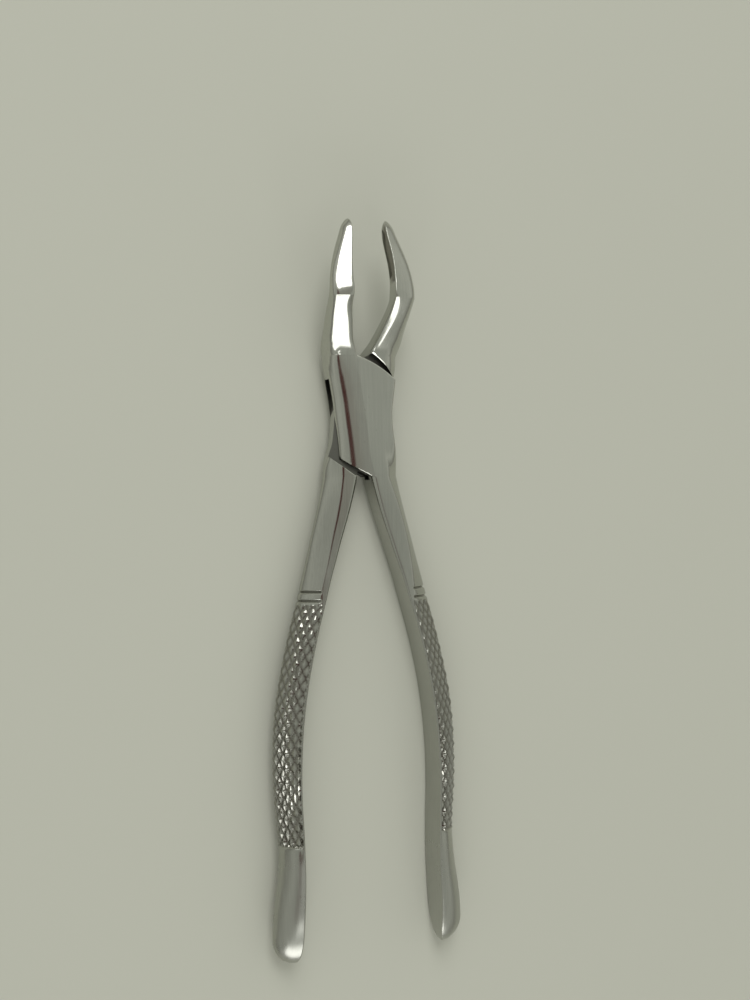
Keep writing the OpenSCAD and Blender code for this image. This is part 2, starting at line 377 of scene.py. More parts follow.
    def rings(self) -> tuple[Array, Array]:
        """All sections as points in space.

        Returns:
            Points, sections by points by 3, and a mask of the grooves and the trough, where shade is painted.
        """
        y = self.stations()
        front, cut, centre = self.corners(y)
        back = front[:, ::-1] * np.array([1.0, -1.0])
        corners = np.concatenate([front, back], 1)
        cuts = np.concatenate([cut, cut[:, ::-1, ::-1]], 1)
        arcs = self.arcs + self.arcs[::-1]
        straights = self.straights + (self.sides,) + self.straights[::-1] + (self.sides,)
        flat = outline(corners, cuts, arcs, straights)
        n_right = sum(self.arcs[:3]) + sum(self.straights[:3])
        n_half = sum(self.arcs) + sum(self.straights)
        right = slice(n_right, 2 * n_half + self.sides - n_right)
        flat, trough = self.hollow_out(y, flat, corners, n_half)
        slant = self.beak.shear * ramp(y, BEAK_ROOT, BEAK_ROOT + 3)
        tall = np.maximum(np.abs(corners[..., 1]).max(1), 1.0)
        flat[..., 0] += slant[:, None] * flat[..., 1] / tall[:, None]
        flat, groove = self.carve(y, flat, right)
        # The grooves and the trough are painted in shade.
        groove = groove + trough
        # Ends: the section shrinks by quarter ellipses about a point beside the inner face.
        tip_k = quarter(TIP - y, self.beak.end, 0.1)
        kz = quarter(y - TAIL, self.handle.end_depth, 0.1) * tip_k
        kx = quarter(y - TAIL, self.handle.end_width, 0.06) * tip_k
        pivot = np.where(y < 0, self.handle.inner(y) + 1.2, -self.beak.inner(y) - 0.35)
        x = pivot[:, None] + (flat[..., 0] - pivot[:, None]) * kx[:, None]
        z = centre[:, None] + flat[..., 1] * kz[:, None] + MID
        return np.stack([x, np.broadcast_to(y[:, None], x.shape), z], -1), groove

    def hollow_out(self, y: Array, flat: Array, corners: Array, n_half: int) -> tuple[Array, Array]:
        """Sinks the inner face of the blade into a shallow trough.

        Args:
            y: Places of the sections.
            flat: Outlines.
            corners: Corners of the sections.
            n_half: Points on the front half of an outline.

        Returns:
            Outlines whose inner face is lower by a parabola across the blade, and a mask of the trough, where
            shade is painted.
        """
        hollow = self.beak.hollow
        deep = hollow * ramp(y, 28.6, 31.5) * ramp(y, TIP - 0.2, TIP - 3.2)
        edge = corners[:, 4, 1][:, None]
        span = slice(n_half - self.arcs[4] // 2, n_half + self.sides + self.arcs[4] // 2)
        across = np.clip(1 - (flat[:, span, 1] / np.maximum(edge, 0.1)) ** 2 * 1.15, 0, 1)
        out = flat.copy()
        out[:, span, 0] -= deep[:, None] * across
        trough = np.zeros(flat.shape[:2])
        trough[:, span] = np.clip(deep[:, None] * across / hollow * 2.5, 0, 1)
        return out, trough

    def carve(self, y: Array, flat: Array, right: slice) -> tuple[Array, Array]:
        """Cuts the ring grooves and the knurl into the outer side of the handle, along its normals.

        A ring groove is a bell curve in y. The knurl goes down by its depth times 1 less its height.

        Args:
            y: Places of the sections.
            flat: Outlines.
            right: Points of an outline that lie on its right side.

        Returns:
            Carved outlines, and a mask that is 1 in the grooves, where shade is painted.
        """
        part = flat[:, right]
        step = np.linalg.norm(np.diff(part, axis=1), axis=2)
        around = np.concatenate([np.zeros((len(y), 1)), np.cumsum(step, 1)], 1)
        around -= around[:, -1:] / 2
        half = around[:, -1:]
        axis = np.stack([self.handle.inner(y), y], 1)
        along = np.concatenate([[0], np.cumsum(np.linalg.norm(np.diff(axis, axis=0), axis=1))])[:, None]
        tangent = np.gradient(part, axis=1)
        normal = np.stack([-tangent[..., 1], tangent[..., 0]], -1)
        normal /= np.maximum(np.linalg.norm(normal, axis=2, keepdims=True), 1e-9)
        edge = ramp(half - np.abs(around), 0.0, 0.25)
        k = self.knurl
        zone = ramp(y, k.start, k.start - 0.35) * ramp(y, k.end, k.end + 0.35)
        sunk = (1 - k.height(along, around)) * zone[:, None] * edge
        depth = mix(k.shallow, k.deep, ramp(y, -62, -84))[:, None] * sunk
        rim = ramp(half - np.abs(around), 0.15, 0.6)
        # The groove mask paints shade into the knurl's grooves and the ring grooves.
        groove_shade = sunk
        for place, width, deep in self.ring_grooves:
            bowl = np.exp(-(((y - place) / width) ** 2) * 3)[:, None] * rim
            depth = depth + deep * bowl
            groove_shade = np.maximum(groove_shade, bowl**3)
        # Just past the knurl the tail is ground a little lower.
        past = ramp(y, k.end + 0.2, k.end - 0.5) * ramp(y, k.end - 4, k.end - 0.5)
        neck = self.neck * past[:, None] * rim
        inside = np.sign(np.sum(normal * (part.mean(1, keepdims=True) - part), 2, keepdims=True))
        out = flat.copy()
        out[:, right] = part + normal * inside * (depth + neck)[..., None]
        groove = np.zeros(flat.shape[:2])
        groove[:, right] = groove_shade
        return out, groove

    def front_height(self, points: Array) -> Array:
        """Height of the front face: straight from corner to corner, and level outside them.

        Args:
            points: Places in the plan, points by 2.

        Returns:
            Height above the joint's middle at each place, before the corners are rounded.
        """
        pts, _, _ = self.corners(points[:, 1])
        place = points[:, :1]
        i = np.clip((place >= pts[..., 0]).sum(1) - 1, 0, pts.shape[1] - 2)
        row = np.arange(len(pts))
        (x0, z0), (x1, z1) = pts[row, i].T, pts[row, i + 1].T
        return mix(z0, z1, np.clip((place[:, 0] - x0) / (x1 - x0), 0, 1))


def grid_mesh(name: str, rings: Array) -> bpy.types.Mesh:
    """Closed skin over rings of points, with a cap at both ends.

    Args:
        name: Name of the mesh.
        rings: Points in millimetres, rings by points by 3.

    Returns:
        A closed mesh in metres whose faces point outwards.
    """
    n, m, _ = rings.shape
    index = np.arange(n * m).reshape(n, m)
    a, b = index[:-1], index[1:]
    quads = np.stack([a, np.roll(a, -1, 1), np.roll(b, -1, 1), b], -1).reshape(-1, 4)
    points = rings.reshape(-1, 3)
    tri = points[quads[:, [0, 1, 2]]]
    tri2 = points[quads[:, [0, 2, 3]]]
    volume = sum(np.einsum("ij,ij->i", t[:, 0], np.cross(t[:, 1], t[:, 2])).sum() for t in (tri, tri2))
    first, last = index[0][::-1], index[-1]
    if volume < 0:
        quads, first, last = quads[:, ::-1], first[::-1], last[::-1]
    mesh = bpy.data.meshes.new(name)
    mesh.from_pydata((points * MM).tolist(), [], quads.tolist() + [first.tolist(), last.tolist()])
    mesh.validate()
    return mesh


def new_object(name: str, mesh: bpy.types.Mesh) -> bpy.types.Object:
    """Puts a mesh into the scene as an object at the origin.

    Args:
        name: Name of the object.
        mesh: Its mesh.

    Returns:
        The object.
    """
    obj = bpy.data.objects.new(name, mesh)
    bpy.context.scene.collection.objects.link(obj)
    return obj


def boolean(obj: bpy.types.Object, cutters: list[bpy.types.Object], operation: str = "DIFFERENCE") -> None:
    """Applies cutters to an object one after another and removes them. Cut faces get the material index 1.

    Args:
        obj: The object that is changed.
        cutters: Closed objects, each used once.
        operation: Boolean operation.
    """
    for cutter in cutters:
        mod = obj.modifiers.new("cut", "BOOLEAN")
        mod.operation = operation
        mod.solver = "MANIFOLD"
        mod.object = cutter
    graph = bpy.context.evaluated_depsgraph_get()
    done = bpy.data.meshes.new_from_object(obj.evaluated_get(graph))
    old = obj.data
    obj.modifiers.clear()
    obj.data = done
    bpy.data.meshes.remove(old)
    for cutter in cutters:
        mesh = cutter.data
        bpy.data.objects.remove(cutter)
        bpy.data.meshes.remove(mesh)


def bulged(start: tuple[float, float], end: tuple[float, float], bulge: float, n: int = 13) -> Array:
    """Shallow parabola between two ends: the straight line plus 4 b u (1 - u), away from the pivot.

    Args:
        start: First end.
        end: Last end.
        bulge: Height b of the parabola over the straight line.
        n: Number of points.

    Returns:
        Points by 2.
    """
    p, q = np.array(start, float), np.array(end, float)
    u = np.linspace(0, 1, n)[:, None]
    side = (q - p)[::-1] * np.array([-1, 1]) / np.linalg.norm(q - p)
    side = side * np.sign(side @ p)
    return p + (q - p) * u + side * bulge * 4 * u * (1 - u)


def run_on(curve: Array, reach: float = 25.0) -> Array:
    """The same curve, run on straight at both ends.

    Args:
        curve: Points by 2.
        reach: How far each end runs on.

    Returns:
        The points with one more at each end.
    """
    a, b = curve[0] - curve[1], curve[-1] - curve[-2]
    first = curve[0] + a / np.linalg.norm(a) * reach
    last = curve[-1] + b / np.linalg.norm(b) * reach
    return np.concatenate([[first], curve, [last]])


def resample(curve: Array, count: int) -> Array:
    """Even steps along a curve, with its two long ends kept as single steps.

    Args:
        curve: Points by 2.
        count: Number of points to return.

    Returns:
        Points at equal lengths along the straight pieces between the given ones.
    """
    body = curve[1:-1]
    length = np.concatenate([[0], np.cumsum(np.linalg.norm(np.diff(body, axis=0), axis=1))])
    at = np.linspace(0, length[-1], count - 2)
    inner = np.stack([np.interp(at, length, body[:, i]) for i in (0, 1)], 1)
    return np.concatenate([curve[:1], inner, curve[-1:]])


def outward(curve: Array) -> Array:
    """Unit normals of a curve: its tangent turned by a right angle, on the side away from the pivot.

    Args:
        curve: Points by 2.

    Returns:
        One unit vector for each point.
    """
    t = np.gradient(curve, axis=0)
    n = np.stack([-t[:, 1], t[:, 0]], 1)
    n /= np.linalg.norm(n, axis=1, keepdims=True)
    return n * np.sign((n * curve).sum(1, keepdims=True))


def level(plan: Array, height: float | Array) -> Array:
    """Points of a plan at a height, or each at its own."""
    return np.column_stack([plan, np.broadcast_to(height, len(plan))])


def face_values(mesh: bpy.types.Mesh, name: str, width: int) -> Array:
    """Reads a property of every face.

    Args:
        mesh: The mesh.
        name: The property.
        width: Numbers in it.

    Returns:
        Faces by width.
    """
    values = np.zeros(len(mesh.polygons) * width, np.int32 if name == "material_index" else np.float32)
    mesh.polygons.foreach_get(name, values)
    return values.reshape(-1, width)


def mark_cuts(mesh: bpy.types.Mesh, deep: float = 1.6, upright: float = 0.2, shade: float = 0.72) -> None:
    """Marks the faces that the cutters left, then puts all faces on one material.

    The mark for the recesses paints shade into the joint: it is 1 on walls and less on the floors near the
    middle plane. The mark for the bevelled lips paints them brighter, partly as edge wear and partly as a
    painted highlight.

    Args:
        mesh: A mesh whose cut faces have the material index 1.
        deep: Distance from the middle plane within which a level face is a floor of the joint.
        upright: Steepness of a wall: the greatest size of its normal's Z.
        shade: Strength of the painted shade on a floor of the joint.
    """
    cut = face_values(mesh, "material_index", 1)[:, 0] > 0
    is_deep = np.abs(face_values(mesh, "center", 3)[:, 2] / MM - MID) < deep
    is_wall = np.abs(face_values(mesh, "normal", 3)[:, 2]) < upright
    # Painted shade on the cut walls and the joint's floors; painted highlight, with edge wear, on the bevelled
    # lips.
    shaded_recess = cut * np.where(is_wall, 1.0, np.where(is_deep, shade, 0.0))
    for name, value in (("shaded_recess", shaded_recess), ("worn_and_sheen", cut & ~is_wall & ~is_deep)):
        mesh.attributes.new(name, "FLOAT", "FACE").data.foreach_set("value", value.astype(np.float32))
    mesh.polygons.foreach_set("material_index", np.zeros(len(mesh.polygons), np.int32))


def finish_piece(obj: bpy.types.Object, material: bpy.types.Material, weld: float = 2e-7,
                 angle: float = 28.0) -> None:
    """Welds doubles, marks the cuts, smooths the faces, and gives the piece its finish.

    Args:
        obj: A piece after its cuts.
        material: Its finish.
        weld: Distance in metres below which points become one.
        angle: Edges sharper than this many degrees stay crisp.
    """
    mesh = obj.data
    bm = bmesh.new()
    bm.from_mesh(mesh)
    bmesh.ops.remove_doubles(bm, verts=bm.verts, dist=weld)
    bmesh.ops.dissolve_degenerate(bm, edges=bm.edges, dist=weld)
    bm.to_mesh(mesh)
    bm.free()
    mark_cuts(mesh)
    mesh.shade_smooth()
    mesh.set_sharp_from_angle(angle=math.radians(angle))
    mesh.materials.clear()
    mesh.materials.append(material)
    LOG.info("%s: %d faces", obj.name, len(mesh.polygons))


@dataclass
class JointEdges:
    """The cuts that make the box joint, as drawn for a half with its beak on the left."""

    blank: Blank
    box_top: Array = field(default_factory=lambda: bulged((-1.45, 12.95), (8.9, 6.85), 0.7))
    box_low: Array = field(default_factory=lambda: bulged((-6.3, -11.1), (1.65, -15.55), 0.1))
    shoulder_top: Array = field(default_factory=lambda: run_on(np.concatenate([
        [(-1.2, 12.7), (-1.75, 13.35)], bulged((-2.35, 13.62), (-8.3, 7.85), 0.35)])))
    shoulder_low: Array = field(default_factory=lambda: run_on(bulged((8.7, -10.7), (1.95, -15.85), 0.1)))

    def wall(self, curve: Array, far: Array) -> bpy.types.Object:
        """A cutter outside a curve whose wall opens into a chamfer at the front and the back.

        Args:
            curve: The edge to leave, points by 2.
            far: The far side of the cutter, points by 2.

        Returns:
            The cutter.
        """
        n = outward(curve)
        height = self.blank.front_height(curve)
        front = self.bevelled(curve, -n, height, 1)
        back = self.bevelled(curve, -n, height, -1)[::-1]
        rows = [level(far, MID + CUT_REACH), *front, *back, level(far, MID - CUT_REACH)]
        return self.cutter(np.stack(rows, 1))

    def bevelled(self, curve: Array, inward: Array, height: Array, s: int) -> list[Array]:
        """Rows of a cutter that leave a bevel along an edge, from far above it down to its wall.

        The bevel is low and wide on edges that face the beaks, and at half a right angle on the others.

        Args:
            curve: The edge.
            inward: Unit vectors from the edge into the material.
            height: Height of the face at the edge.
            s: 1 for the front face, -1 for the back face.

        Returns:
            Rows of points, the last of them on the wall.
        """
        low = inward[len(inward) // 2, 1] < 0
        wide, drop = (0.15, 0.08) if low else (0.15, 0.15)
        over = curve + inward * wide * 2
        return [level(over, MID + s * CUT_REACH), level(over, MID + s * (height + drop)),
                level(curve, MID + s * (height - drop))]

    def shaded_recess(self, s: int, count: int = 40) -> bpy.types.Object:
        """A cutter between the two shoulders, down to one face of the tongue. The faces it leaves are painted
        in shade.

        Args:
            s: 1 for the front face, -1 for the back face.
            count: Points along each shoulder.

        Returns:
            The cutter.
        """
        upper, lower = resample(self.shoulder_top, count), resample(self.shoulder_low[::-1], count)[::-1]
        rows = [
            level(upper, MID + s * TONGUE_HALF),
            *self.bevelled(upper, outward(upper), self.blank.front_height(upper), s)[::-1],
            *self.bevelled(lower, outward(lower), self.blank.front_height(lower), s),
            level(lower, MID + s * TONGUE_HALF)]
        return self.cutter(np.stack(rows, 1))

    @staticmethod
    def cutter(rings: Array, inside: bool = True) -> bpy.types.Object:
        """A closed cutter over rings of points.

        Args:
            rings: Rings by points by 3.
            inside: Whether the faces that it leaves are inside the joint, and get the material index 1.

        Returns:
            The cutter.
        """
        mesh = grid_mesh("cutter", rings)
        mesh.materials.append(None)
        mesh.materials.append(None)
        mesh.polygons.foreach_set("material_index", np.full(len(mesh.polygons), int(inside), np.int32))
        return new_object("cutter", mesh)

    def prism(self, plan: Array, low: float = CUT_LOW, high: float = CUT_HIGH,
              inside: bool = True) -> bpy.types.Object:
        """An upright prism over a plan, between two heights above the table."""
        return self.cutter(np.stack([level(plan, low), level(plan, high)]), inside)

    def bore(self, radius: float, low: float = CUT_LOW) -> bpy.types.Object:
        """A round cutter on the pivot axis, from a height above the table upwards."""
        a = np.linspace(0, 2 * math.pi, 96, endpoint=False)
        return self.prism(np.column_stack([np.cos(a), np.sin(a)]) * radius, low)

    def box_cutters(self) -> list[bpy.types.Object]:
        """Cutters that turn a blank into the half that carries the box.

        Returns:
            The cutters of both edges of the box, its slot and its bore.
        """
        top_far = level(np.linspace(-1.4, 14, 13)[:, None], BEAK_ROOT + 0.105)
        low_far = level(np.linspace(-9.0, 1.7, 13)[:, None], HANDLE_ROOT - 0.005)
        slot = np.array([[-14.2, 2.4], [-1.3, 12.95], [14, 25.5], [14.3, -6.2], [1.3, -17.0], [-14, -29]])
        return [self.wall(self.box_top, top_far), self.wall(self.box_low, low_far),
                self.prism(slot, MID - SLOT_HALF, MID + SLOT_HALF), self.bore(PIN_R + PIN_FIT)]

    def tongue_cutters(self) -> list[bpy.types.Object]:
        """Cutters that turn a blank into the half that passes through the box.

        Returns:
            The cutters of both flanks of the tongue, of its front and back, and its bore.
        """
        upper = np.array([[-1.45, 12.7], [5.9, 3.5], [14, 3.4], [14, 13.105], [-1.4, 13.105]])
        end = HANDLE_ROOT - 0.005
        lower = np.array([[-12, -1.0], [-6.6, -1.0], [-5.3, -4.5], [-2.5, -9.0], [-0.35, -12.5],
                          [1.7, -15.6], [1.7, end], [-12, end]])
        return [self.prism(upper, inside=False), self.prism(lower), self.shaded_recess(1), self.shaded_recess(-1),
                self.bore(PIN_R + PIN_PLAY)]


class Links:
    """Short ways to add and join the nodes of one tree."""

    def __init__(self, tree: bpy.types.NodeTree) -> None:
        """Keeps the tree."""
        self.tree = tree

    def node(self, kind: str, **values: object) -> bpy.types.Node:
        """Adds a node and sets its properties.

        Args:
            kind: Type of the node, where the prefix ShaderNode may be left out.
            **values: Its properties.

        Returns:
            The node.
        """
        n = self.tree.nodes.new(kind if kind.startswith("Node") else "ShaderNode" + kind)
        for key, value in values.items():
            setattr(n, key, value)
        return n

    def feed(self, socket: bpy.types.NodeSocket, value: object) -> None:
        """Links a socket or sets its value.

        Args:
            socket: The socket to feed.
            value: Another socket, a number, a vector or a colour. None leaves the socket as it is.
        """
        if isinstance(value, bpy.types.NodeSocket):
            self.tree.links.new(value, socket)
        elif value is not None:
            socket.default_value = value

    def feed_all(self, node: bpy.types.Node, **values: object) -> bpy.types.Node:
        """Feeds the inputs of a node.

        Args:
            node: The node.
            **values: Sockets or values by the inputs' names, with _ for a space.

        Returns:
            The node.
        """
        for key, value in values.items():
            self.feed(node.inputs[key.replace("_", " ")], value)
        return node

    def math(self, op: str, a: object, b: object = None, clamp: bool = False) -> bpy.types.NodeSocket:
        """A Math node on sockets or numbers.

        Args:
            op: Its operation.
            a: First value.
            b: Second value, where the operation has one.
            clamp: Whether the result is kept between 0 and 1.

        Returns:
            The result.
        """
        n = self.node("Math", operation=op, use_clamp=clamp)
        for socket, value in zip(n.inputs, (a, b)):
            self.feed(socket, value)
        return n.outputs[0]

    def total(self, start: float | bpy.types.NodeSocket, weights: Weights,
              masks: dict[str, bpy.types.NodeSocket]) -> bpy.types.NodeSocket:
        """The start plus every named mask times its weight.

        Args:
            start: First value.
            weights: Names of masks and their weights.
            masks: The masks by name.

        Returns:
            The sum.
        """
        for name, weight in weights:
            start = self.math("ADD", start, self.math("MULTIPLY", masks[name], weight))
        return start

    def slope(self, value: bpy.types.NodeSocket, start: float, end: float) -> bpy.types.NodeSocket:
        """Smooth step of a value, from 0 at the start to 1 at the end."""
        n = self.node("MapRange", interpolation_type="SMOOTHSTEP")
        return self.feed_all(n, Value=value, From_Min=start, From_Max=end).outputs["Result"]

    def blend(self, share: object, a: object, b: object) -> bpy.types.NodeSocket:
        """A colour between two sockets or colours."""
        n = self.node("Mix", data_type="RGBA")
        return self.feed_all(n, Factor=share, A=a, B=b).outputs["Result"]

    def scaled(self, color: bpy.types.NodeSocket, share: object) -> bpy.types.NodeSocket:
        """A colour times a number."""
        return self.feed_all(self.node("VectorMath", operation="SCALE"), Vector=color, Scale=share).outputs[0]


@dataclass(frozen=True)
class Polish:
    """Ground and polished steel: long fine grinding lines, soft smudges and small pits.

    Places are in metres on Object coordinates. Each weight says how much a mask adds to an output. The tail is
    duller from its first place to its second, and the handles are painted darker as shade. Grooves, the trough
    and the joint's recesses are painted darker as shade, and bevelled lips brighter as wear and painted
    highlight.
    """

    inputs: tuple[tuple[str, object], ...] = (
        ("Lines Along", 60.0), ("Lines Across", 2600.0), ("Line Strength", 0.5), ("Smudge", 0.5),
        ("Roughness", 0.2), ("Color", (0.6, 0.6, 0.57, 1)), ("Dirt", (0.2, 0.18, 0.15, 1)),
        ("Shade", (0.035, 0.03, 0.025, 1)), ("Groove", 0.0), ("Shaded_recess", 0.0), ("Worn_and_sheen", 0.0))
    outputs: tuple[tuple[str, str], ...] = (("Color", "Color"), ("Roughness", "Float"), ("Height", "Float"))
    smudge_scale: float = 130.0
    pit_scale: float = 420.0
    pit_radius: float = 0.06
    tail: tuple[float, float] = (-0.099, -0.108)
    # Painted shade: the handles are darker from the first place down to the second.
    handle_shade: tuple[float, float] = (0.0, -0.03)
    least_roughness: float = 0.05
    # How far the joint's recesses are painted towards the Shade colour, as painted shade.
    recess_shade: float = 0.92
    roughness: Weights = (
        ("lines", 0.12), ("smudges", 0.22), ("Groove", 0.06), ("Shaded_recess", 0.2), ("tail", 0.12))
    # Darkening: painted shade in the grooves and the trough, dirt in the pits.
    dirt_and_shade: Weights = (("Groove", 0.72), ("pits", 0.25))
    smudge_dirt: float = 0.3
    # The tone paints the handles darker as shade and the bevelled lips brighter as wear and as a painted
    # highlight.
    tone: Weights = (("Worn_and_sheen", 0.25), ("handle_shade", -0.15), ("lines", 0.45), ("smudges", 0.22))
    height: Weights = (("lines", 0.6), ("pits", -0.5))

    def build(self) -> bpy.types.NodeTree:
        """Makes the node group.

        Returns:
            A group that puts out a color, a roughness and a height.
        """
        tree = bpy.data.node_groups.new("satin_polish", "ShaderNodeTree")
        for name, value in self.inputs:
            kind = "NodeSocketFloat" if isinstance(value, float) else "NodeSocketColor"
            tree.interface.new_socket(name=name, in_out="INPUT", socket_type=kind).default_value = value
        for name, kind in self.outputs:
            tree.interface.new_socket(name=name, in_out="OUTPUT", socket_type="NodeSocket" + kind)
        k = Links(tree)
        given = k.node("NodeGroupInput").outputs
        masks = self.masks(k, given)
        # Grooves and the trough get painted shade, pits and smudges get dirt.
        dirt_and_shade_share = k.total(0.0, self.dirt_and_shade, masks)
        blots = k.math("MAXIMUM", k.math("MULTIPLY", masks["smudges"], self.smudge_dirt), 0.0)
        color = k.blend(k.math("ADD", dirt_and_shade_share, blots, True), given["Color"], given["Dirt"])
        # Painted shade: the joint's recesses are blended towards the dark Shade colour.
        color = k.blend(k.math("MULTIPLY", given["Shaded_recess"], self.recess_shade), color, given["Shade"])
        rough = k.total(given["Roughness"], self.roughness, masks)
        k.feed_all(
            k.node("NodeGroupOutput"), Color=k.scaled(color, k.total(1.0, self.tone, masks)),
            Roughness=k.math("MAXIMUM", rough, self.least_roughness), Height=k.total(0.0, self.height, masks))
        return tree

    def masks(self, k: Links, given: bpy.types.NodeOutputs) -> dict[str, bpy.types.NodeSocket]:
        """The patterns of the finish: stretched noise, noise, hearts of cells, and smooth steps in Y, one of
        them the painted shade on the handles.

        Args:
            k: The group's links.
            given: Outputs of the group's input node.

        Returns:
            The patterns and the given masks by name. Lines and smudges lie round 0.
        """
        place = k.node("TexCoord").outputs["Object"]
        size = k.node("CombineXYZ")
        for socket, name in zip(size.inputs, ("Lines Across", "Lines Along", "Lines Across")):
            k.feed(socket, given[name])
        stretch = k.node("VectorMath", operation="MULTIPLY")
        k.feed(stretch.inputs[0], place)
        k.feed(stretch.inputs[1], size.outputs[0])
        lines = k.feed_all(k.node("TexNoise"), Vector=stretch.outputs[0], Scale=1.0, Detail=5.0, Roughness=0.65)
        smudges = k.feed_all(
            k.node("TexNoise"), Vector=place, Scale=self.smudge_scale, Detail=4.0, Distortion=0.6)
        cells = k.feed_all(
            k.node("TexVoronoi", feature="F1"), Vector=place, Scale=self.pit_scale, Randomness=1.0)
        parts = k.node("SeparateXYZ")
        k.feed(parts.inputs[0], place)
        return {
            "lines": k.math("MULTIPLY", k.math("SUBTRACT", lines.outputs["Fac"], 0.5), given["Line Strength"]),
            "smudges": k.math("MULTIPLY", k.math("SUBTRACT", smudges.outputs["Fac"], 0.5), given["Smudge"]),
            "pits": k.math("LESS_THAN", cells.outputs["Distance"], self.pit_radius),
            "tail": k.slope(parts.outputs["Y"], *self.tail),
            "handle_shade": k.slope(parts.outputs["Y"], *self.handle_shade),
            **{name: given[name] for name in ("Groove", "Shaded_recess", "Worn_and_sheen")},
        }


@dataclass(frozen=True)
class SatinSteel:
    """Satin-polished stainless steel. Its marks are face and point attributes that feed the group's masks."""

    name: str
    color: Color = (0.50, 0.505, 0.465)
    # Colour of the dirt in pits and smudges and of the painted shade in the grooves and the trough.
    dirt_and_shade: Color = (0.16, 0.145, 0.12)
    roughness: float = 0.17
    line_strength: float = 0.55
    smudge: float = 0.5
    lines_along: float = 55.0
    lines_across: float = 2600.0
    bump: float = 0.05
    marks: tuple[str, ...] = ()

    def build(self, group: bpy.types.NodeTree) -> bpy.types.Material:
        """Makes the material.

        Args:
            group: The polish group.

        Returns:
            The material, with the group's outputs on its own shader.
        """
        mat = bpy.data.materials.new(self.name)
        mat.use_nodes = True
        k = Links(mat.node_tree)
        look = k.feed_all(
            k.node("Group", node_tree=group), Color=(*self.color, 1), Dirt=(*self.dirt_and_shade, 1),
            Roughness=self.roughness, Line_Strength=self.line_strength, Smudge=self.smudge,
            Lines_Along=self.lines_along, Lines_Across=self.lines_across)
        for mark in self.marks:
            k.feed(look.inputs[mark.capitalize()], k.node("Attribute", attribute_name=mark).outputs["Fac"])
        bump = k.feed_all(k.node("Bump"), Strength=self.bump, Distance=0.0001, Height=look.outputs["Height"])
        k.feed_all(
            mat.node_tree.nodes["Principled BSDF"], Metallic=1.0, Specular_IOR_Level=0.5,
            Base_Color=look.outputs["Color"], Roughness=look.outputs["Roughness"],
            Normal=bump.outputs["Normal"])
        return mat


@dataclass
class Forceps:
    """The two halves and the pin. The half with the tongue has flanks of its own."""

    blank: Blank = field(default_factory=Blank)
    tongue_blank: Blank = field(default_factory=lambda: Blank(
        handle=HandleShape(crest=Track((
            (-15.7, 0.5), (-22, 0.42), (-30, 0.36), (-43, 0.3), (-60, 0.38), (-100, 0.42), (-129.2, 0.5))),
            drop=0.055),
        beak=BeakShape(
            width=Track((
                (13.0, 8.2), (14.5, 8.0), (16, 7.5), (18, 6.9), (20, 6.45), (22, 6.1), (24, 5.8),
                *BeakShape.width.knots[7:])),
            fall=Track((
                (25.7, 13.05), (27, 12.95), (29, 12.7), (31, 12.4), (34, 11.9), *BeakShape.fall.knots[-5:])),
            bevel=Track(((13.0, 0.5), (16, 1.0), (25.2, 0.95), (26.4, 0.4), (30, 0.25), (44.3, 0.15)))),
        box=BoxShape(
            left=Track(((13.0, -9.6), (10, -9.05), (8, -8.6), (3.5, -7.1), (-1, -6.4), (-4.5, -6.2),
                        (-9, -6.0), (-15.7, -5.6))),
            right=Track(((13.0, 8.8), (3.5, 5.9), (-1, 6.6), (-4.5, 6.9), (-7, 7.2), (-9, 7.5), (-11.6, 7.95),
                         (-13.9, 8.6), (-15.7, 9.1))))))
    # Its marks paint shade into the grooves, the trough and the joint's recesses, and brighten the bevelled
    # lips as wear and painted highlight.
    steel: SatinSteel = SatinSteel("satin_steel", marks=("groove", "shaded_recess", "worn_and_sheen"))
    pin_steel: SatinSteel = SatinSteel("pin_steel", roughness=0.18)

    def raw(self, name: str, blank: Blank) -> bpy.types.Object:
        """Makes an uncut blank.

        Args:
            name: Name of the piece.
            blank: Its shape.

        Returns:
            The blank, with its groove mask, which paints shade into the grooves and the trough, as an
            attribute.
        """
        rings, groove = blank.rings()
        mesh = grid_mesh(name, rings)
        mesh.materials.append(None)
        mesh.materials.append(None)
        mark = mesh.attributes.new("groove", "FLOAT", "POINT")
        mark.data.foreach_set("value", groove.reshape(-1).astype(np.float32))
        return new_object(name, mesh)

    def half(self, name: str, side: Side, material: bpy.types.Material) -> bpy.types.Object:
        """Builds one half.

        Args:
            name: Name of the piece.
            side: Which way the half lies.
            material: Its finish.

        Returns:
            The finished half.
        """
        blank = self.blank if side is Side.BEAK_LEFT else self.tongue_blank
        obj = self.raw(name, blank)
        cuts = JointEdges(blank)
        boolean(obj, cuts.box_cutters() if side is Side.BEAK_LEFT else cuts.tongue_cutters())
        if side is Side.BEAK_RIGHT:
            obj.data.transform(Matrix.Scale(-1, 4, Vector((1, 0, 0))))
            obj.data.flip_normals()
        finish_piece(obj, material)
        return obj

    def pin(self, name: str, material: bpy.types.Material) -> bpy.types.Object:
        """Builds the pin, ground flush with the box on both sides, with a centre mark in its front end.

        Args:
            name: Name of the piece.
            material: Its finish.

        Returns:
            The finished pin.
        """
        obj = self.raw(name, self.blank)
        cuts = JointEdges(self.blank)
        boolean(obj, [cuts.bore(PIN_R - PIN_FIT)], "INTERSECT")
        boolean(obj, [cuts.bore(0.2, MID + 4.05)])
        finish_piece(obj, material)
        return obj

    def build(self) -> None:
        """Builds the pieces and hangs each on its body in place of its CAD node."""
        group = Polish().build()
        steel, pin_steel = self.steel.build(group), self.pin_steel.build(group)
        for name, node, side, body in (
            ("box_half", "female_half", Side.BEAK_LEFT, "female_body"),
            ("tongue_half", "male_half", Side.BEAK_RIGHT, "male_body"),
        ):
            piece = self.half(name, side, steel)
            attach(piece, body)
            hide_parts(node)
        pin = self.pin("joint_pin", pin_steel)
        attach(pin, "female_body")
        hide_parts("pivot_pin")


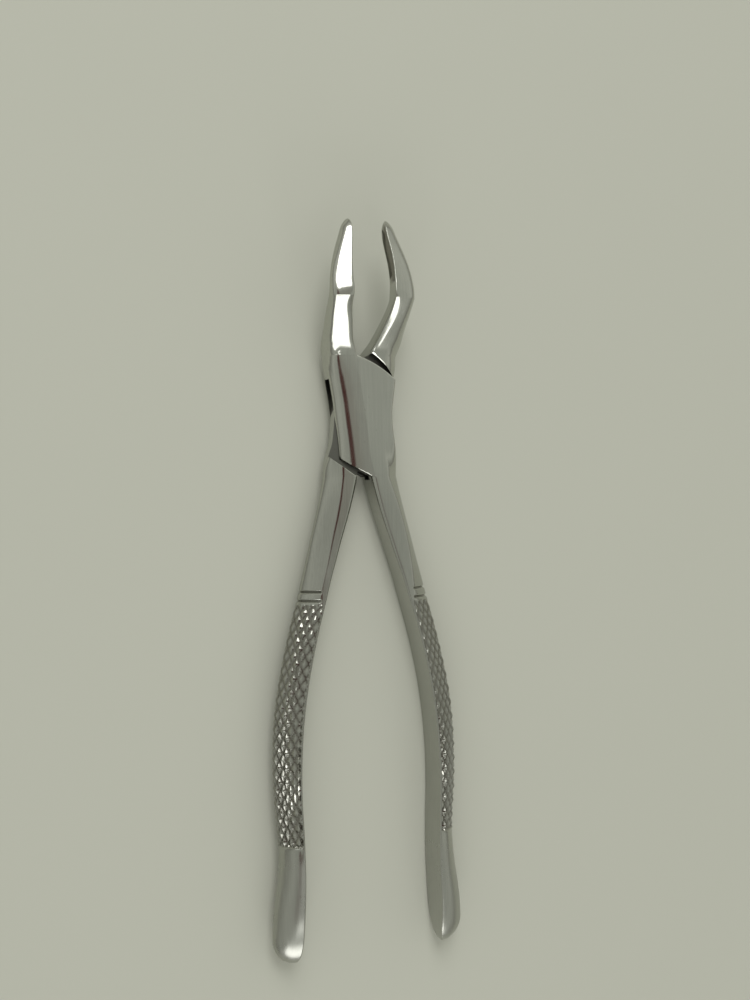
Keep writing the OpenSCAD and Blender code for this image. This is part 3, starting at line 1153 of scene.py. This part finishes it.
@dataclass(frozen=True)
class Softbox:
    """A rectangular soft light that points at the forceps, in metres."""

    name: str
    direction: tuple[float, float, float]
    distance: float
    size: tuple[float, float]
    power: float
    color: Color = (1.0, 1.0, 0.98)
    target: tuple[float, float, float] = (0.0, -0.04, 0.0)

    def build(self) -> None:
        """Adds the light."""
        data = bpy.data.lights.new(self.name, "AREA")
        data.shape = "RECTANGLE"
        data.size, data.size_y = self.size
        data.energy = self.power
        data.color = self.color
        obj = bpy.data.objects.new(self.name, data)
        way = Vector(self.direction).normalized()
        obj.location = Vector(self.target) + way * self.distance
        obj.rotation_mode = "QUATERNION"
        obj.rotation_quaternion = way.to_track_quat("Z", "Y")
        bpy.context.scene.collection.objects.link(obj)


@dataclass(frozen=True)
class Stage:
    """Floor, lights and camera. The camera's distance and offset are in millimetres, its angles in degrees."""

    floor_color: Color = (0.54, 0.545, 0.484)
    floor_height: float = -0.00004
    sky: tuple[tuple[float, Color], ...] = (
        (0.0, (0.26, 0.255, 0.225)), (0.12, (0.32, 0.32, 0.28)), (0.28, (0.45, 0.46, 0.41)),
        (0.45, (0.56, 0.57, 0.51)), (0.7, (0.46, 0.47, 0.42)), (0.88, (0.46, 0.475, 0.425)),
        (0.97, (0.375, 0.38, 0.34)), (1.0, (0.345, 0.335, 0.295)),
    )
    sky_lean: tuple[float, float, float] = (0.05, 0.15, 0.0)
    sky_strength: float = 1.0
    shade_way: tuple[float, float, float] = (-0.342, 0.0, 0.94)
    shade_color: Color = (0.09, 0.032, 0.028)
    shade_size: tuple[float, float] = (0.17, 0.3)
    lights: tuple[Softbox, ...] = (
        Softbox("window_low", (-0.06, -0.88, 0.40), 1.2, (1.15, 0.5), 4.3),
        Softbox("window_high", (-0.12, 0.66, 0.72), 1.3, (0.5, 0.85), 6.5),
        Softbox("lamp", (-0.05, -0.53, 0.85), 1.3, (0.4, 0.14), 0.5),
    )
    tilt: float = 21.0
    roll: float = 1.07
    distance: float = 300.0
    offset: tuple[float, float] = (-3.587, 21.32)
    lens: float = 45.0

    def build(self) -> None:
        """Builds the whole stage."""
        self.build_floor()
        self.build_world()
        for light in self.lights:
            light.build()
        self.build_camera()

    def build_floor(self) -> None:
        """Adds a large plain table top with a faint cloudiness."""
        u = np.linspace(-1.0, 1.0, 9)
        x, y = np.meshgrid(u * 3, u * 3)
        points = np.stack([x, y, np.full_like(x, self.floor_height)], -1).reshape(-1, 3)
        i = np.arange(x.size).reshape(x.shape)
        faces = np.stack([i[:-1, :-1], i[:-1, 1:], i[1:, 1:], i[1:, :-1]], -1).reshape(-1, 4)
        mesh = bpy.data.meshes.new("table")
        mesh.from_pydata(points.tolist(), [], faces.tolist())
        mat = bpy.data.materials.new("table_top")
        mat.use_nodes = True
        k = Links(mat.node_tree)
        place = k.node("TexCoord").outputs["Object"]
        noise = k.feed_all(k.node("TexNoise"), Vector=place, Scale=9.0, Detail=3.0).outputs["Fac"]
        dark, light = (tuple(c * share for c in self.floor_color) for share in (0.985, 1.015))
        k.feed_all(
            mat.node_tree.nodes["Principled BSDF"], Roughness=0.75, Specular_IOR_Level=0.2,
            Base_Color=k.blend(noise, (*dark, 1), (*light, 1)))
        mesh.materials.append(mat)
        new_object("table_top", mesh)

    def build_world(self) -> None:
        """Adds soft surroundings in grey bands, with a dark shape above the left of the table."""
        world = bpy.data.worlds.new("surroundings")
        world.use_nodes = True
        k = Links(world.node_tree)
        way = k.node("TexCoord").outputs["Generated"]
        parts = k.node("SeparateXYZ")
        k.feed(parts.inputs[0], way)
        x, y, z = parts.outputs
        sky = k.feed_all(k.node("ValToRGB"), Fac=z)
        bar = sky.color_ramp
        while len(bar.elements) < len(self.sky):
            bar.elements.new(1.0)
        for element, (place, color) in zip(bar.elements, self.sky):
            element.position = place
            element.color = (*color, 1)
        lean = k.node("VectorMath", operation="DOT_PRODUCT")
        k.feed(lean.inputs[0], way)
        k.feed(lean.inputs[1], self.sky_lean)
        tilted = k.scaled(sky.outputs["Color"], k.math("ADD", 1.0, lean.outputs["Value"]))
        # The dark shape is narrow across and long along the forceps, with a soft rim.
        wx, _, wz = self.shade_way
        side = k.math("ADD", k.math("MULTIPLY", x, wz), k.math("MULTIPLY", z, -wx))
        side = k.math("DIVIDE", side, self.shade_size[0])
        long = k.math("DIVIDE", y, self.shade_size[1])
        reach = k.math("ADD", k.math("MULTIPLY", side, side), k.math("MULTIPLY", long, long))
        dark = k.math("MULTIPLY", k.math("SUBTRACT", 1.1, reach), 4.0, True)
        dark = k.math("MULTIPLY", dark, k.math("GREATER_THAN", z, 0.2))
        k.feed_all(
            world.node_tree.nodes["Background"], Strength=self.sky_strength,
            Color=k.blend(dark, tilted, (*self.shade_color, 1)))
        bpy.context.scene.world = world

    def build_camera(self) -> None:
        """Adds the camera, tilted to the left of the pivot axis and rolled a little."""
        t, r = math.radians(self.tilt), math.radians(self.roll)
        back = Vector((-math.sin(t), 0, math.cos(t)))
        right = Vector((math.cos(t), 0, math.sin(t)))
        up = Vector((0, 1, 0))
        place = back * self.distance - right * self.offset[0] - up * self.offset[1] + Vector((0, 0, MID))
        cam_up = up * math.cos(r) + right * math.sin(r)
        cam_right = right * math.cos(r) - up * math.sin(r)
        data = bpy.data.cameras.new("camera")
        data.lens = self.lens
        data.sensor_width = 36.0
        data.clip_start, data.clip_end = 0.01, 20.0
        cam = bpy.data.objects.new("camera", data)
        cam.matrix_world = Matrix((
            (cam_right.x, cam_up.x, back.x, place.x * MM),
            (cam_right.y, cam_up.y, back.y, place.y * MM),
            (cam_right.z, cam_up.z, back.z, place.z * MM),
            (0, 0, 0, 1)))
        bpy.context.scene.collection.objects.link(cam)
        bpy.context.scene.camera = cam
        bpy.context.scene.view_settings.view_transform = "Standard"


def main() -> None:
    """Builds the forceps, then the stage, and reports each."""
    logging.basicConfig(level=logging.INFO, format="%(name)s: %(message)s")
    Forceps().build()
    Stage().build()
    LOG.info("scene ready")


if __name__ == "__main__":
    main()
